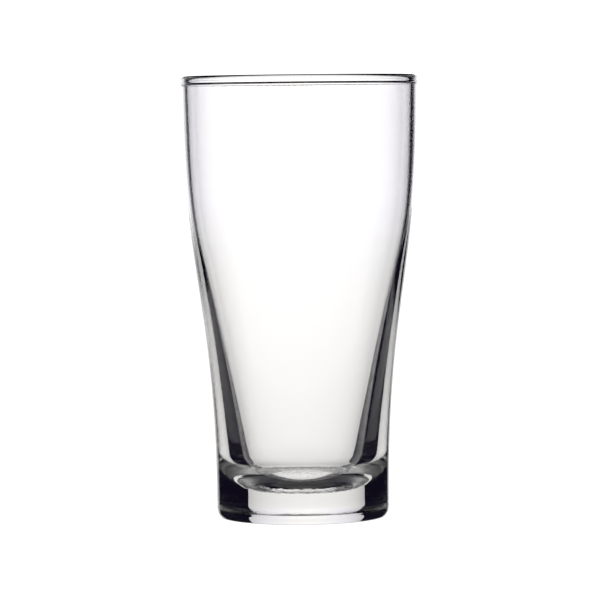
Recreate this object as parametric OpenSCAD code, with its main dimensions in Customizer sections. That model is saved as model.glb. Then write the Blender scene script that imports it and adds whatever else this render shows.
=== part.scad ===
// Conical pint glass: one thick-walled tumbler of clear glass, turned about the Z axis.
// The origin is the centre of the ring that it stands on, and +Z points up, out of the mouth.
// Every surface is a surface of revolution, so the glass is drawn as one closed meridian outline.

/* [Overall] */
// Height from the table to the top of the rim
height = 166; // [155:0.5:180]

/* [Rim] */
// Largest diameter of the rounded bead round the rim
rim_d = 89.3; // [89.2:0.1:91]
// Diameter of the circle along the top of the rim
crown_d = 86.4; // [85.6:0.1:88.2]
// Smallest diameter inside the bead
mouth_d = 83; // [82:0.1:83.4]
// How far below the top the bead is widest
rim_drop = 1.9; // [1:0.1:2.2]
// How far below the top the mouth is narrowest
mouth_drop = 1.9; // [1:0.1:2.2]
// Height of the bead on the outside, down to where it has run out into the wall
bead_h = 3.9; // [3:0.1:5]
// Height of the bead on the inside, down to where it has run out into the wall
lip_h = 3.9; // [3:0.1:5]

/* [Outer wall] */
// Outside diameter of the wall just below the bead
shoulder_d = 88.6; // [86:0.1:88.8]
// Outside diameter of the wall at the foot
foot_d = 64.8; // [62:0.1:68]
// Length over which the wall leaves the heel upright
foot_hold = 77.9; // [65:0.1:85]
// Length over which the wall meets the bead upright
shoulder_hold = 71.4; // [60:0.1:75]

/* [Cavity] */
// Inside diameter of the wall just below the bead
throat_d = 84.1; // [83.6:0.1:84.8]
// How far the wall leans in for each millimetre down from there
throat_lean = 0.0175; // [0:0.0005:0.03]
// Length over which the wall keeps that lean
throat_hold = 72.8; // [60:0.1:74]
// Thickness of the glass under the middle of the cavity
base_t = 10.15; // [8:0.05:14]
// Height of the rounded bottom, from its floor up to the wall
bowl_h = 14.3; // [12:0.1:20]
// Inside diameter where the wall turns into the rounded bottom
bowl_d = 46.4; // [43:0.1:48]
// Diameter of the level floor in the middle of the cavity
floor_d = 17.8; // [12:0.1:24]
// How far the wall leans out for each millimetre of height where it leaves the rounded bottom
bowl_flare = 0.153; // [0.1:0.001:0.18]
// Length over which the wall keeps that lean above the rounded bottom
bowl_hold = 90.7; // [80:0.1:95]

/* [Foot] */
// How far the heel draws in from the wall to the flat ring
heel_w = 1.8; // [1.6:0.1:3]
// Height of the heel, up to the line that the mould leaves round the foot
heel_h = 3.6; // [3:0.1:6]
// How far the heel leans in for each millimetre down from that line
heel_lean = 0.09; // [0:0.01:0.15]
// How far the heel runs in for each millimetre down where it reaches the edge of the flat ring
heel_slant = 0.8; // [0.5:0.05:0.85]
// Width of the small round between the heel and the flat ring
edge_w = 0.6; // [0.3:0.05:0.7]
// Height of the small round between the heel and the flat ring
edge_h = 0.3; // [0.1:0.05:0.4]
// Width of the flat ring that the glass stands on
ring_w = 2.4; // [1.5:0.1:4]
// Height of the hollow under the middle of the base
punt_h = 1.1; // [0.5:0.1:2]

/* [Hidden] */
glass_tint = [0.86, 0.93, 0.92, 0.4];
// Straight steps along each long curve of the wall, and along each small round
wall_steps = 26;
round_steps = 8;
// Handle of a cubic that follows a quarter of an ellipse
round_k = 0.5523;
shoulder_z = height - bead_h;
throat_z = height - lip_h;
bowl_z = base_t + bowl_h;
ring_r = foot_d / 2 - heel_w;
edge_r = ring_r + edge_w;
punt_r = ring_r - ring_w;
// Lengths over which the heel keeps its lean at the top and its slant at the bottom
heel_hold = 1.5;
heel_tuck = 1.2;
// How strongly the bead keeps upright before it runs out into the wall
swell_k = 0.85;

// Points along a cubic curve from a to d, pulled towards the handles b and c. The first point is left
// out, because each stretch of the outline starts where the last one ended.
function curve(a, b, c, d, steps) = [
    for (i = [1 : steps])
        let (t = i / steps, u = 1 - t)
            u * u * u * a + 3 * u * u * t * b + 3 * u * t * t * c + t * t * t * d
];

// A quarter of an ellipse from a to b, leaving a along the radius (first = [1, 0]) or along Z ([0, 1]).
function quarter(a, b, first) =
    let (step = b - a, turn = [first[1], first[0]])
        curve(
            a,
            a + round_k * [step[0] * first[0], step[1] * first[1]],
            b - round_k * [step[0] * turn[0], step[1] * turn[1]],
            b,
            round_steps
        );

// An S-curve from a to b that runs along Z at both ends.
function swell(a, b) =
    let (pull = [0, swell_k * (b[1] - a[1])])
        curve(a, a + pull, b - pull, b, round_steps);

// Underside: the shallow hollow, then the flat ring that the glass stands on.
function underside_points() = concat(
    [[0, punt_h]],
    curve([0, punt_h], [punt_r / 2, punt_h], [punt_r * 0.8, 0], [punt_r, 0], round_steps),
    [[ring_r, 0]]
);

// Outside: a small round, the heel, then one long S-curve up to the bead.
function outside_points() = concat(
    curve(
        [ring_r, 0],
        [ring_r + edge_w / 2, 0],
        [edge_r - heel_slant * edge_h / 2, edge_h / 2],
        [edge_r, edge_h],
        round_steps / 2
    ),
    curve(
        [edge_r, edge_h],
        [edge_r + heel_slant * heel_tuck, edge_h + heel_tuck],
        [foot_d / 2 - heel_lean * heel_hold, heel_h - heel_hold],
        [foot_d / 2, heel_h],
        round_steps
    ),
    curve(
        [foot_d / 2, heel_h],
        [foot_d / 2, heel_h + foot_hold],
        [shoulder_d / 2, shoulder_z - shoulder_hold],
        [shoulder_d / 2, shoulder_z],
        wall_steps
    )
);

// Rim: a rounded bead that stands a little proud of the wall on both sides.
function rim_points() =
    let (
        widest = [rim_d / 2, height - rim_drop],
        crown = [crown_d / 2, height],
        narrowest = [mouth_d / 2, height - mouth_drop]
    )
        concat(
            swell([shoulder_d / 2, shoulder_z], widest),
            quarter(widest, crown, [0, 1]),
            quarter(crown, narrowest, [1, 0]),
            swell(narrowest, [throat_d / 2, throat_z])
        );

// Cavity: the inner wall draws in faster than the outer one, down to a rounded bottom.
function cavity_points() = concat(
    curve(
        [throat_d / 2, throat_z],
        [throat_d / 2 - throat_lean * throat_hold, throat_z - throat_hold],
        [bowl_d / 2 + bowl_flare * bowl_hold, bowl_z + bowl_hold],
        [bowl_d / 2, bowl_z],
        wall_steps
    ),
    curve(
        [bowl_d / 2, bowl_z],
        [bowl_d / 2 - bowl_flare * round_k * bowl_h, bowl_z - round_k * bowl_h],
        [floor_d / 2 + round_k * (bowl_d - floor_d) / 2, base_t],
        [floor_d / 2, base_t],
        wall_steps / 2
    ),
    [[0, base_t]]
);

module glass() {
    color(glass_tint)
        rotate_extrude($fn = 180)
            polygon(concat(underside_points(), outside_points(), rim_points(), cavity_points()));
}

glass();
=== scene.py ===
import math

import bpy
import numpy as np
from mathutils import Matrix, Vector, noise


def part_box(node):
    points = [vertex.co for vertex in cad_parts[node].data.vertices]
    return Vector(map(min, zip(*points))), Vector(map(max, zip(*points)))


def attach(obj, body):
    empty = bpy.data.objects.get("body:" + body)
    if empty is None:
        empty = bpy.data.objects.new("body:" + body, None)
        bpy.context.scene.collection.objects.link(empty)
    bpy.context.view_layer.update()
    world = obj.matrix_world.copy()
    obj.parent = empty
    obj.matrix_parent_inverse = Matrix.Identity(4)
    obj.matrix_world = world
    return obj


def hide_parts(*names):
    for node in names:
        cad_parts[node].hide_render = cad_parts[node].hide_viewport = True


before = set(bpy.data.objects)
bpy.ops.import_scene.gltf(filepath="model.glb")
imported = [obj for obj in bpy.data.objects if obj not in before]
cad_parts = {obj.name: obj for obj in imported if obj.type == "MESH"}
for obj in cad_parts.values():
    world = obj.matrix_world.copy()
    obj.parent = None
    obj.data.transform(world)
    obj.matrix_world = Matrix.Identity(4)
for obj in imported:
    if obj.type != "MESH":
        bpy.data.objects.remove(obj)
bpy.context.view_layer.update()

glass_low, glass_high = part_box("glass")

# One design millimetre, in metres: the glass is 166 of them tall
HEIGHT = 166.0
MM = (glass_high.z - glass_low.z) / HEIGHT
# Everything below is in design millimetres unless its name says otherwise

# Rim
RIM_R, CROWN_R, MOUTH_R = 44.65, 43.2, 41.5
RIM_DROP, MOUTH_DROP, BEAD_H, LIP_H = 1.9, 1.9, 3.9, 3.9
SWELL_K = 0.85
# Outer wall
SHOULDER_R, FOOT_R, FOOT_HOLD, SHOULDER_HOLD = 44.3, 32.4, 77.9, 71.4
# Cavity
THROAT_R, THROAT_LEAN, THROAT_HOLD = 42.05, 0.0175, 72.8
BASE_T, BOWL_H, BOWL_R, FLOOR_R = 10.15, 14.3, 23.2, 8.9
BOWL_FLARE, BOWL_HOLD = 0.153, 90.7
# Foot
HEEL_W, HEEL_H, RING_W, PUNT_H = 1.8, 3.6, 2.4, 1.1
HEEL_LEAN, HEEL_HOLD, HEEL_SLANT, HEEL_TUCK = 0.09, 1.5, 0.8, 1.2
EDGE_W, EDGE_H = 0.6, 0.3
# Handle of a cubic that follows a quarter of an ellipse
ROUND_K = 0.5523

# Mesh: segments round the axis, and steps along each stretch of the outline
SEGMENTS = 220
PUNT_STEPS, RING_STEPS, EDGE_STEPS, HEEL_STEPS, WALL_STEPS = 40, 12, 8, 30, 110
SWELL_STEPS, CROWN_STEPS, BORE_STEPS, BOWL_STEPS, FLOOR_STEPS = 20, 16, 100, 48, 27

# Glass
GLASS_IOR = 1.52
ABSORB_COLOUR, ABSORB_DENSITY = (0.9, 0.9, 0.895, 1.0), 38.0

# Roughness: the stippled standing ring, the plunger's print in the cavity floor, scuffs, fine grain
RING_ROUGH, NOSE_ROUGH, SCUFF_ROUGH, GRAIN_ROUGH = 0.3, 0.1, 0.22, 0.012
# Heights above the table up to which the ring's roughness is full, and where it ends
RING_FULL, RING_END = 0.3, 0.5
# The print: radii up to which it is full and where it ends, then four heights from the cavity floor:
# where it begins, is full, starts to fade and ends
NOSE_FULL_R, NOSE_END_R = 15.0, 19.0
NOSE_FROM, NOSE_FULL, NOSE_HOLD, NOSE_FADE = -1.0, -0.5, 0.6, 2.5
# Wear: how far it reaches up from the table and down from the rim's top, and its share at the rim
FOOT_WEAR_H, RIM_WEAR_H, RIM_WEAR = 2.2, 1.2, 0.25
SCUFFED = (0.90, 0.91, 0.90, 1.0)
# Shader noise: scale per metre, detail, and the values between which it shows
GRAIN_SCALE, GRAIN_DETAIL, GRAIN_FROM, GRAIN_TO = 900.0, 3.0, 0.5, 0.8
SCUFF_SCALE, SCUFF_DETAIL, SCUFF_FROM, SCUFF_TO = 2600.0, 2.0, 0.52, 0.68
BUMP_STRENGTH, BUMP_M, SCUFF_BUMP = 0.15, 0.00002, 2.0

# Relief left by the mould, the plunger and the flame
WALL_WAVE, BORE_WAVE = 0.012, 0.03
WAVE_ACROSS, WAVE_ALONG, WAVE_FADE = 11.0, 55.0, 15.0
SEAM_RISE, SEAM_WIDTH, SEAM_WANDER = 0.006, 0.3, 0.2
SEAM_LONG, SEAM_SHORT, SEAM_REACH = 5.0, 1.8, 3.0
CHILL_DEPTH, CHILL_SIZE, CHILL_REACH, CHILL_FADE, CHILL_FINER = 0.08, 1.2, 20.0, 4.0, 2.3
STIPPLE_DEPTH, STIPPLE_SIZE = 0.03, 0.9
# Share of the finer noise where two are added
FINER = 0.5
# Where each use of the noise starts in it, so that no two patterns match
WALL_OFFSET, BORE_OFFSET, STIPPLE_OFFSET = 3.1, 7.7, 41.9
SEAM_OFFSET, SEAM_FINER_OFFSET, CHILL_OFFSET, CHILL_FINER_OFFSET = 11.3, 17.9, 23.1, 31.7


def cubic(a, b, c, d, steps):
    """Points along a cubic curve from a to d with handles b and c, without the first one."""
    t = np.linspace(0, 1, steps + 1)[1:, None]
    u = 1 - t
    a, b, c, d = (np.array(p, float) for p in (a, b, c, d))
    return u**3 * a + 3 * u**2 * t * b + 3 * u * t**2 * c + t**3 * d


def quarter(a, b, first, steps):
    """A quarter of an ellipse from a to b that leaves a along first, (1, 0) or (0, 1)."""
    a, b, first = (np.array(p, float) for p in (a, b, first))
    leg = b - a
    return cubic(a, a + ROUND_K * leg * first, b - ROUND_K * leg * first[::-1], b, steps)


def swell(a, b, steps):
    """An S-curve from a to b that runs along Z at both ends."""
    a, b = np.array(a, float), np.array(b, float)
    pull = np.array([0, SWELL_K * (b[1] - a[1])])
    return cubic(a, a + pull, b - pull, b, steps)


def meridian():
    """The glass's closed outline as (radius, height), from the centre of the underside over the rim to
    the centre of the cavity floor, with the name of the stretch that each point belongs to."""
    ring_r = FOOT_R - HEEL_W
    edge_r = ring_r + EDGE_W
    punt_r = ring_r - RING_W
    shoulder_z, throat_z, bowl_z = HEIGHT - BEAD_H, HEIGHT - LIP_H, BASE_T + BOWL_H
    widest = (RIM_R, HEIGHT - RIM_DROP)
    crown = (CROWN_R, HEIGHT)
    narrowest = (MOUTH_R, HEIGHT - MOUTH_DROP)
    stretches = [
        ("underside", np.array([[0.0, PUNT_H]])),
        ("underside", cubic((0, PUNT_H), (punt_r / 2, PUNT_H), (punt_r * 0.8, 0), (punt_r, 0), PUNT_STEPS)),
        ("ring", cubic((punt_r, 0), (punt_r, 0), (ring_r, 0), (ring_r, 0), RING_STEPS)),
        ("heel", cubic((ring_r, 0), (ring_r + EDGE_W / 2, 0), (edge_r - HEEL_SLANT * EDGE_H / 2, EDGE_H / 2),
                       (edge_r, EDGE_H), EDGE_STEPS)),
        ("heel", cubic((edge_r, EDGE_H), (edge_r + HEEL_SLANT * HEEL_TUCK, EDGE_H + HEEL_TUCK),
                       (FOOT_R - HEEL_LEAN * HEEL_HOLD, HEEL_H - HEEL_HOLD), (FOOT_R, HEEL_H), HEEL_STEPS)),
        ("wall", cubic((FOOT_R, HEEL_H), (FOOT_R, HEEL_H + FOOT_HOLD),
                       (SHOULDER_R, shoulder_z - SHOULDER_HOLD), (SHOULDER_R, shoulder_z), WALL_STEPS)),
        ("rim", swell((SHOULDER_R, shoulder_z), widest, SWELL_STEPS)),
        ("rim", quarter(widest, crown, (0, 1), CROWN_STEPS)),
        ("rim", quarter(crown, narrowest, (1, 0), CROWN_STEPS)),
        ("rim", swell(narrowest, (THROAT_R, throat_z), SWELL_STEPS)),
        ("bore", cubic((THROAT_R, throat_z), (THROAT_R - THROAT_LEAN * THROAT_HOLD, throat_z - THROAT_HOLD),
                       (BOWL_R + BOWL_FLARE * BOWL_HOLD, bowl_z + BOWL_HOLD), (BOWL_R, bowl_z), BORE_STEPS)),
        ("bowl", cubic((BOWL_R, bowl_z), (BOWL_R - BOWL_FLARE * ROUND_K * BOWL_H, bowl_z - ROUND_K * BOWL_H),
                       (FLOOR_R + ROUND_K * (BOWL_R - FLOOR_R), BASE_T), (FLOOR_R, BASE_T), BOWL_STEPS)),
        ("floor", np.column_stack([np.linspace(FLOOR_R, 0, FLOOR_STEPS + 1)[1:],
                                   np.full(FLOOR_STEPS, BASE_T)])),
    ]
    points = np.concatenate([p for _, p in stretches])
    names = np.concatenate([[n] * len(p) for n, p in stretches])
    return points, names


def outward(points):
    """Unit normals of the outline, pointing out of the glass."""
    along = np.gradient(points, axis=0)
    along /= np.linalg.norm(along, axis=1)[:, None]
    return np.column_stack([along[:, 1], -along[:, 0]])


def grain(points, size, offset):
    """Smooth noise from -1 to 1 at each point; size is one number or one for each axis."""
    scaled = points / np.array(size) + offset
    return np.array([noise.noise(Vector(p)) for p in scaled])


def relief(points, names, place):
    """How far the surface stands out at each ring and segment."""
    lift = np.zeros(place.shape[:2])

    def rows(*wanted):
        return np.isin(names, wanted)

    def noisy(mask, size, offset):
        chosen = place[mask]
        return grain(chosen.reshape(-1, 3), size, offset).reshape(chosen.shape[:2])

    stretched = (WAVE_ACROSS, WAVE_ACROSS, WAVE_ALONG)
    walls, bores = rows("wall", "heel"), rows("bore", "bowl")
    calm = np.clip((HEIGHT - BEAD_H - points[:, 1]) / WAVE_FADE, 0, 1)[:, None]
    lift[walls] += WALL_WAVE * noisy(walls, stretched, WALL_OFFSET) * calm[walls]
    lift[bores] += BORE_WAVE * noisy(bores, stretched, BORE_OFFSET) * calm[bores]

    # Flame-softened line where the base plate met the mould
    near = walls & (points[:, 1] < HEEL_H + SEAM_REACH)
    around = place[near][-1] * (1, 1, 0)
    wander = grain(around, SEAM_LONG, SEAM_OFFSET) + FINER * grain(around, SEAM_SHORT, SEAM_FINER_OFFSET)
    wander = HEEL_H + SEAM_WANDER * wander
    away = (points[near][:, 1][:, None] - wander) / SEAM_WIDTH
    lift[near] += SEAM_RISE * np.exp(-away**2)

    # Chill wrinkles where the plunger's nose pressed the cavity floor
    nose = rows("bowl", "floor") & (points[:, 0] < CHILL_REACH)
    wrinkle = 1 - 2 * np.abs(noisy(nose, CHILL_SIZE, CHILL_OFFSET))
    wrinkle += FINER * noisy(nose, CHILL_SIZE / CHILL_FINER, CHILL_FINER_OFFSET)
    fade = np.clip((CHILL_REACH - points[nose][:, 0]) / CHILL_FADE, 0, 1)
    lift[nose] += CHILL_DEPTH * wrinkle * fade[:, None]

    # Stippled standing ring and underside
    under = rows("ring", "underside")
    lift[under] -= STIPPLE_DEPTH * np.abs(noisy(under, STIPPLE_SIZE, STIPPLE_OFFSET))
    return lift


def build_glass():
    """The glass as one closed mesh: the outline turned about Z, with its relief."""
    points, names = meridian()
    normals = outward(points)
    turn = np.linspace(0, 2 * math.pi, SEGMENTS, endpoint=False)
    spokes = np.column_stack([np.cos(turn), np.sin(turn)])
    place = np.empty((len(points), SEGMENTS, 3))
    place[:, :, :2] = points[:, 0][:, None, None] * spokes
    place[:, :, 2] = points[:, 1][:, None]
    lift = relief(points, names, place)
    place[:, :, :2] += (lift * normals[:, 0][:, None])[:, :, None] * spokes
    place[:, :, 2] += lift * normals[:, 1][:, None]
    place[:, :, 2] = np.maximum(place[:, :, 2], 0)

    # One vertex at each end of the outline, rings between
    rings = place[1:-1].reshape(-1, 3)
    first, last = place[0].mean(0), place[-1].mean(0)
    count = len(points) - 2
    vertices = np.concatenate([[first], rings, [last]]) * MM
    ring = 1 + np.arange(count)[:, None] * SEGMENTS + np.arange(SEGMENTS)
    after = np.roll(ring, -1, axis=1)
    faces = [(0, b, a) for a, b in zip(ring[0], after[0])]
    quads = np.stack([ring[:-1], after[:-1], after[1:], ring[1:]], axis=-1).reshape(-1, 4)
    faces += quads.tolist()
    tip = len(vertices) - 1
    faces += [(a, b, tip) for a, b in zip(ring[-1], after[-1])]
    mesh = bpy.data.meshes.new("pint_glass")
    mesh.from_pydata(vertices.tolist(), [], [tuple(int(i) for i in f) for f in faces])
    mesh.validate()
    mesh.polygons.foreach_set("use_smooth", [True] * len(mesh.polygons))
    mesh.update()
    piece = bpy.data.objects.new("pint_glass", mesh)
    bpy.context.scene.collection.objects.link(piece)
    return piece


class Graph:
    """Short names for building a node tree."""

    def __init__(self, tree):
        self.tree = tree

    def node(self, kind, **settings):
        made = self.tree.nodes.new(kind)
        for name, value in settings.items():
            setattr(made, name, value)
        return made

    def wire(self, value, socket):
        if isinstance(value, bpy.types.NodeSocket):
            self.tree.links.new(value, socket)
        else:
            socket.default_value = value

    def math(self, operation, *values):
        made = self.node("ShaderNodeMath", operation=operation)
        for value, socket in zip(values, made.inputs):
            self.wire(value, socket)
        return made.outputs[0]

    def ramp(self, value, low, high, to_low=0.0, to_high=1.0):
        made = self.node("ShaderNodeMapRange", clamp=True)
        for v, name in ((value, "Value"), (low, "From Min"), (high, "From Max"),
                        (to_low, "To Min"), (to_high, "To Max")):
            self.wire(v, made.inputs[name])
        return made.outputs[0]

    def noise(self, where, scale, detail):
        made = self.node("ShaderNodeTexNoise")
        self.wire(where, made.inputs["Vector"])
        made.inputs["Scale"].default_value = scale
        made.inputs["Detail"].default_value = detail
        return made.outputs[0]


def glass_material():
    """Clear soda-lime glass: polished walls, a scuffed heel and standing ring, faint wear on the rim."""
    material = bpy.data.materials.new("clear_glass")
    material.use_nodes = True
    tree = material.node_tree
    tree.nodes.clear()
    g = Graph(tree)
    output = g.node("ShaderNodeOutputMaterial")
    surface = g.node("ShaderNodeBsdfPrincipled")
    where = g.node("ShaderNodeTexCoord").outputs["Object"]
    apart = g.node("ShaderNodeSeparateXYZ")
    g.wire(where, apart.inputs[0])
    height = apart.outputs[2]

    surface.inputs["Transmission Weight"].default_value = 1.0
    surface.inputs["IOR"].default_value = GLASS_IOR

    fine = g.noise(where, GRAIN_SCALE, GRAIN_DETAIL)
    scuffs = g.ramp(g.noise(where, SCUFF_SCALE, SCUFF_DETAIL), SCUFF_FROM, SCUFF_TO)
    foot_wear = g.ramp(height, 0.0, FOOT_WEAR_H * MM, 1.0, 0.0)
    rim_wear = g.ramp(height, (HEIGHT - RIM_WEAR_H) * MM, HEIGHT * MM, 0.0, RIM_WEAR)
    wear = g.math("MULTIPLY", g.math("ADD", foot_wear, rim_wear), scuffs)
    ring_wear = g.ramp(height, RING_FULL * MM, RING_END * MM, RING_ROUGH, 0.0)
    radius = g.node("ShaderNodeVectorMath", operation="LENGTH")
    level = g.node("ShaderNodeCombineXYZ")
    g.wire(apart.outputs[0], level.inputs[0])
    g.wire(apart.outputs[1], level.inputs[1])
    g.wire(level.outputs[0], radius.inputs[0])
    inside = g.math("MULTIPLY", g.ramp(height, (BASE_T + NOSE_FROM) * MM, (BASE_T + NOSE_FULL) * MM),
                    g.ramp(height, (BASE_T + NOSE_HOLD) * MM, (BASE_T + NOSE_FADE) * MM, 1.0, 0.0))
    central = g.ramp(radius.outputs["Value"], NOSE_FULL_R * MM, NOSE_END_R * MM, NOSE_ROUGH, 0.0)
    nose_print = g.math("MULTIPLY", inside, central)
    polish = g.math("ADD", g.math("MULTIPLY", wear, SCUFF_ROUGH),
                    g.ramp(fine, GRAIN_FROM, GRAIN_TO, 0.0, GRAIN_ROUGH))
    roughness = g.math("ADD", polish, g.math("ADD", ring_wear, nose_print))
    g.wire(roughness, surface.inputs["Roughness"])

    clean = g.node("ShaderNodeMix", data_type="RGBA")
    g.wire(wear, clean.inputs["Factor"])
    clean.inputs["A"].default_value = (1.0, 1.0, 1.0, 1.0)
    clean.inputs["B"].default_value = SCUFFED
    g.wire(clean.outputs["Result"], surface.inputs["Base Color"])

    bump = g.node("ShaderNodeBump")
    bump.inputs["Strength"].default_value = BUMP_STRENGTH
    bump.inputs["Distance"].default_value = BUMP_M
    g.wire(g.math("ADD", fine, g.math("MULTIPLY", wear, SCUFF_BUMP)), bump.inputs["Height"])
    g.wire(bump.outputs[0], surface.inputs["Normal"])

    body = g.node("ShaderNodeVolumeAbsorption")
    body.inputs["Color"].default_value = ABSORB_COLOUR
    body.inputs["Density"].default_value = ABSORB_DENSITY
    g.wire(surface.outputs[0], output.inputs["Surface"])
    g.wire(body.outputs[0], output.inputs["Volume"])
    return material


glass = build_glass()
glass.data.materials.append(glass_material())
# The glass neither shades nor lights the floor, so the floor stays even
glass.visible_shadow = glass.visible_diffuse = False
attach(glass, "root")
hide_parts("glass")

# Camera: a little below the rim's height, about 1.3 m away, tilted slightly down
CAMERA_AWAY, CAMERA_HEIGHT, CAMERA_ASIDE = 1327.0, 152.6, -0.41
CAMERA_TILT, CAMERA_ROLL = math.radians(3.065), math.radians(-0.585)
FRAME_WIDTH = 225.6
SENSOR, CLIP_END_M = 36.0, 50.0

camera_data = bpy.data.cameras.new("camera")
camera_data.sensor_width = SENSOR
camera_data.lens = SENSOR * CAMERA_AWAY / FRAME_WIDTH
camera_data.clip_end = CLIP_END_M
camera = bpy.data.objects.new("camera", camera_data)
bpy.context.scene.collection.objects.link(camera)
camera.matrix_world = (
    Matrix.Translation((CAMERA_ASIDE * MM, -CAMERA_AWAY * MM, CAMERA_HEIGHT * MM))
    @ Matrix.Rotation(math.pi / 2 - CAMERA_TILT, 4, "X")
    @ Matrix.Rotation(CAMERA_ROLL, 4, "Z")
)
bpy.context.scene.camera = camera

# Bright-field light: a glowing card behind the glass, square to the camera. From the camera's axis it
# reaches to its left, right, top and bottom. Below CARD_TAPER its sides close in to CARD_FOOT each way.
CARD_BEHIND, CARD_LEFT, CARD_RIGHT, CARD_TOP, CARD_BOTTOM = 432.6, 262.5, 212.0, 190.0, 573.0
CARD_TAPER, CARD_FOOT, CARD_SHIFT = 120.0, 60.0, 15.0
CARD_HALF = (CARD_LEFT + CARD_RIGHT) / 2
# CARD_LOW_FALL is what the glow loses for each metre below the height CARD_FULL_H
CARD_GLOW, CARD_SIDE_FALL, CARD_LOW_FALL, CARD_FULL_H, CARD_LEAST = 1.374, 0.452, 0.9335, 112.8, 0.1
CARD_WARM, CARD_COOL = (1.0, 0.988, 0.976, 1.0), (0.98, 0.96, 1.01, 1.0)
# The cool tint comes in between these shares of the card's half width, and up to this height
COOL_FROM, COOL_FULL, COOL_H = 0.08, 0.45, 90.0


def stage_mesh(name, vertices, faces, material, parent=None, location=(0, 0, 0)):
    """A piece of the stage, which isn't part of the glass."""
    mesh = bpy.data.meshes.new(name)
    mesh.from_pydata([tuple(v) for v in vertices], [], faces)
    mesh.materials.append(material)
    made = bpy.data.objects.new(name, mesh)
    bpy.context.scene.collection.objects.link(made)
    made.parent = parent
    made.location = location
    return made


def light_only(made):
    """Show a piece of the stage to the glass alone, and not to the camera or the floor."""
    made.visible_camera = made.visible_diffuse = made.visible_shadow = False


def glow_material(name, strength, colour=lambda g: (1.0, 1.0, 1.0, 1.0)):
    """An emitter whose strength and colour come from functions of its node graph."""
    material = bpy.data.materials.new(name)
    material.use_nodes = True
    material.node_tree.nodes.clear()
    g = Graph(material.node_tree)
    output = g.node("ShaderNodeOutputMaterial")
    glow = g.node("ShaderNodeEmission")
    g.wire(colour(g), glow.inputs["Color"])
    g.wire(strength(g), glow.inputs["Strength"])
    g.wire(glow.outputs[0], output.inputs["Surface"])
    return material


def card_place(g):
    """Where a point of the card is: across, from -1 to 1 or so, and above the table, in metres."""
    apart = g.node("ShaderNodeSeparateXYZ")
    g.wire(g.node("ShaderNodeTexCoord").outputs["Object"], apart.inputs[0])
    from_middle = g.math("ADD", apart.outputs[0], CARD_SHIFT * MM)
    across = g.math("DIVIDE", from_middle, CARD_HALF * MM)
    axis_height = CAMERA_HEIGHT - math.tan(CAMERA_TILT) * (CAMERA_AWAY + CARD_BEHIND)
    return across, g.math("ADD", apart.outputs[1], axis_height * MM)


def card_strength(g):
    """Falls off towards the card's sides, and towards the table."""
    across, above = card_place(g)
    side = g.math("SUBTRACT", 1.0, g.math("MULTIPLY", CARD_SIDE_FALL, g.math("MULTIPLY", across, across)))
    low = g.math("ADD", 1.0, g.math("MULTIPLY", CARD_LOW_FALL, g.math("SUBTRACT", above, CARD_FULL_H * MM)))
    low = g.math("MINIMUM", 1.0, g.math("MAXIMUM", CARD_LEAST, low))
    return g.math("MULTIPLY", CARD_GLOW, g.math("MULTIPLY", side, low))


def card_colour(g):
    """A little warm in the middle and low down, and a little lavender up at the sides."""
    across, above = card_place(g)
    tint = g.node("ShaderNodeMix", data_type="RGBA")
    sideways = g.ramp(g.math("ABSOLUTE", across), COOL_FROM, COOL_FULL)
    g.wire(g.math("MULTIPLY", sideways, g.ramp(above, 0.0, COOL_H * MM)), tint.inputs["Factor"])
    tint.inputs["A"].default_value = CARD_WARM
    tint.inputs["B"].default_value = CARD_COOL
    return tint.outputs["Result"]


card = stage_mesh(
    "backdrop_card",
    [(x * MM, y * MM, 0) for x, y in ((-CARD_FOOT, -CARD_BOTTOM), (CARD_FOOT, -CARD_BOTTOM),
                                      (CARD_RIGHT, -CARD_TAPER), (CARD_RIGHT, CARD_TOP),
                                      (-CARD_LEFT, CARD_TOP), (-CARD_LEFT, -CARD_TAPER))],
    [(0, 1, 2, 3, 4, 5)],
    glow_material("backdrop_glow", card_strength, card_colour),
    camera,
    (0, 0, -(CAMERA_AWAY + CARD_BEHIND) * MM),
)
light_only(card)

# Studio round the glass: a soft ceiling overhead, and the dim room on the camera's side. Angles are in
# degrees above the camera's axis. The room reaches DOME_OPEN degrees round from behind the camera.
DOME_R_M, DOME_LOW, DOME_ROWS, DOME_COLUMNS, DOME_OPEN = 3.0, 5.0, 18, 72, 100.0
CEILING_GLOW, CEILING_EDGE_GLOW, CEILING_FROM, CEILING_EDGE, CEILING_FULL = 0.8, 0.1, 44.0, 48.0, 85.0
ROOM_GLOW, ROOM_SIDE_GLOW, ROOM_BACK_GLOW = 0.2, 0.5, 0.07
# How far aside, from 0 behind the camera to 1 at its sides: where the back's glow ends, the room's is
# full, the sides' begins and the sides' is full
BACK_END, ROOM_FULL, SIDE_FROM, SIDE_FULL = 0.3, 0.65, 0.95, 0.99


def dome_mesh():
    """A dome round the glass in the camera's own axes, open low down on the side of the card."""
    rises = np.radians(np.linspace(DOME_LOW, 90, DOME_ROWS + 1))
    turns = np.radians(np.linspace(-180, 180, DOME_COLUMNS + 1))
    points = [(math.sin(turn) * math.cos(rise) * DOME_R_M, math.sin(rise) * DOME_R_M,
               math.cos(turn) * math.cos(rise) * DOME_R_M) for rise in rises for turn in turns]
    across = DOME_COLUMNS + 1
    faces = []
    for i in range(DOME_ROWS):
        for j in range(DOME_COLUMNS):
            middle = math.degrees(abs(turns[j] + turns[j + 1]) / 2)
            if math.degrees(rises[i]) >= CEILING_FROM or middle < DOME_OPEN:
                corner = i * across + j
                faces.append((corner, corner + 1, corner + across + 1, corner + across))
    return points, faces


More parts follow.
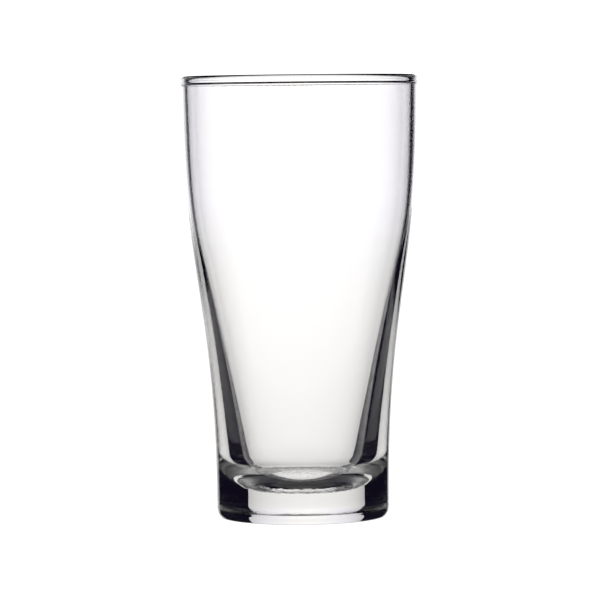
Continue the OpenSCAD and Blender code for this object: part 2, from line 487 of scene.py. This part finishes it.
def dome_strength(g):
    """Bright overhead; lower down, brightest at the sides and dimmest behind the camera."""
    apart = g.node("ShaderNodeSeparateXYZ")
    g.wire(g.node("ShaderNodeTexCoord").outputs["Object"], apart.inputs[0])
    flat = g.node("ShaderNodeVectorMath", operation="NORMALIZE")
    joined = g.node("ShaderNodeCombineXYZ")
    g.wire(apart.outputs[0], joined.inputs[0])
    g.wire(apart.outputs[2], joined.inputs[2])
    g.wire(joined.outputs[0], flat.inputs[0])
    level = g.node("ShaderNodeSeparateXYZ")
    g.wire(flat.outputs[0], level.inputs[0])
    aside = g.math("ABSOLUTE", level.outputs[0])
    low = g.math("ADD", g.ramp(aside, BACK_END, ROOM_FULL, ROOM_BACK_GLOW, ROOM_GLOW),
                 g.ramp(aside, SIDE_FROM, SIDE_FULL, 0.0, ROOM_SIDE_GLOW - ROOM_GLOW))
    heights = (CEILING_FROM, CEILING_EDGE, CEILING_FULL)
    edge, inner, full = (math.sin(math.radians(a)) * DOME_R_M for a in heights)
    overhead = g.ramp(apart.outputs[1], edge, inner)
    ceiling = g.ramp(apart.outputs[1], inner, full, CEILING_EDGE_GLOW, CEILING_GLOW)
    return g.math("ADD", g.math("MULTIPLY", low, g.math("SUBTRACT", 1.0, overhead)),
                  g.math("MULTIPLY", overhead, ceiling))


dome = stage_mesh("studio_dome", *dome_mesh(), glow_material("studio_glow", dome_strength),
                  camera, (0, 0, -CAMERA_AWAY * MM))
light_only(dome)

# Everything else round the glass is nearly black, with a little blue
DARK_R_M, DARK_COLOUR = 3.4, (0.0055, 0.0042, 0.0115, 1.0)


def ball_mesh(radius, rows=16, columns=32):
    """A ball as (vertices, faces), with a row of vertices at each pole."""
    points = [(radius * math.sin(math.pi * i / rows) * math.cos(2 * math.pi * j / columns),
               radius * math.sin(math.pi * i / rows) * math.sin(2 * math.pi * j / columns),
               radius * math.cos(math.pi * i / rows)) for i in range(rows + 1) for j in range(columns)]
    faces = [(i * columns + j, i * columns + (j + 1) % columns,
              (i + 1) * columns + (j + 1) % columns, (i + 1) * columns + j)
             for i in range(rows) for j in range(columns)]
    return points, faces


dark = stage_mesh("studio_dark", *ball_mesh(DARK_R_M),
                  glow_material("studio_dark", lambda g: 1.0, lambda g: DARK_COLOUR))
light_only(dark)

# Faint light from a square under the table that comes up through the base
UNDER_GLOW, UNDER_HALF, UNDER_BELOW = 0.045, 350.0, 500.0
SQUARE = ((-1, -1), (1, -1), (1, 1), (-1, 1))
under = stage_mesh(
    "studio_under",
    [(x * UNDER_HALF * MM, y * UNDER_HALF * MM, 0) for x, y in SQUARE],
    [(0, 1, 2, 3)],
    glow_material("studio_under", lambda g: UNDER_GLOW),
    None,
    (0, 0, -UNDER_BELOW * MM),
)
light_only(under)

# Floor: pale and evenly lit, a hair below the standing ring; the glass doesn't mirror it
FLOOR_HALF_M, FLOOR_BELOW_M = 3.0, 0.0001
FLOOR_PALE, FLOOR_ROUGH = (0.9, 0.9, 0.9, 1), 0.9
floor_material = bpy.data.materials.new("floor_pale")
floor_material.use_nodes = True
paint = floor_material.node_tree.nodes["Principled BSDF"].inputs
paint["Base Color"].default_value = FLOOR_PALE
paint["Roughness"].default_value = FLOOR_ROUGH
paint["Specular IOR Level"].default_value = 0.0
floor = stage_mesh(
    "floor",
    [(x * FLOOR_HALF_M, y * FLOOR_HALF_M, 0) for x, y in SQUARE],
    [(0, 1, 2, 3)],
    floor_material,
    None,
    (0, 0, -FLOOR_BELOW_M),
)
floor.visible_transmission = floor.visible_glossy = False

# White all round, for the floor and the backdrop only
WORLD_GLOW = 1.25
scene = bpy.context.scene
world = bpy.data.worlds.new("studio")
scene.world = world
world.use_nodes = True
world.node_tree.nodes["Background"].inputs["Color"].default_value = (1, 1, 1, 1)
world.node_tree.nodes["Background"].inputs["Strength"].default_value = WORLD_GLOW
world.cycles_visibility.transmission = False
world.cycles_visibility.glossy = False

# Light bends and mirrors many times inside the thick glass, so its paths are long
GLASS_BOUNCES, MIRROR_BOUNCES = 24, 16
scene.view_settings.view_transform = "Standard"
scene.cycles.max_bounces = GLASS_BOUNCES
scene.cycles.transmission_bounces = GLASS_BOUNCES
scene.cycles.glossy_bounces = MIRROR_BOUNCES
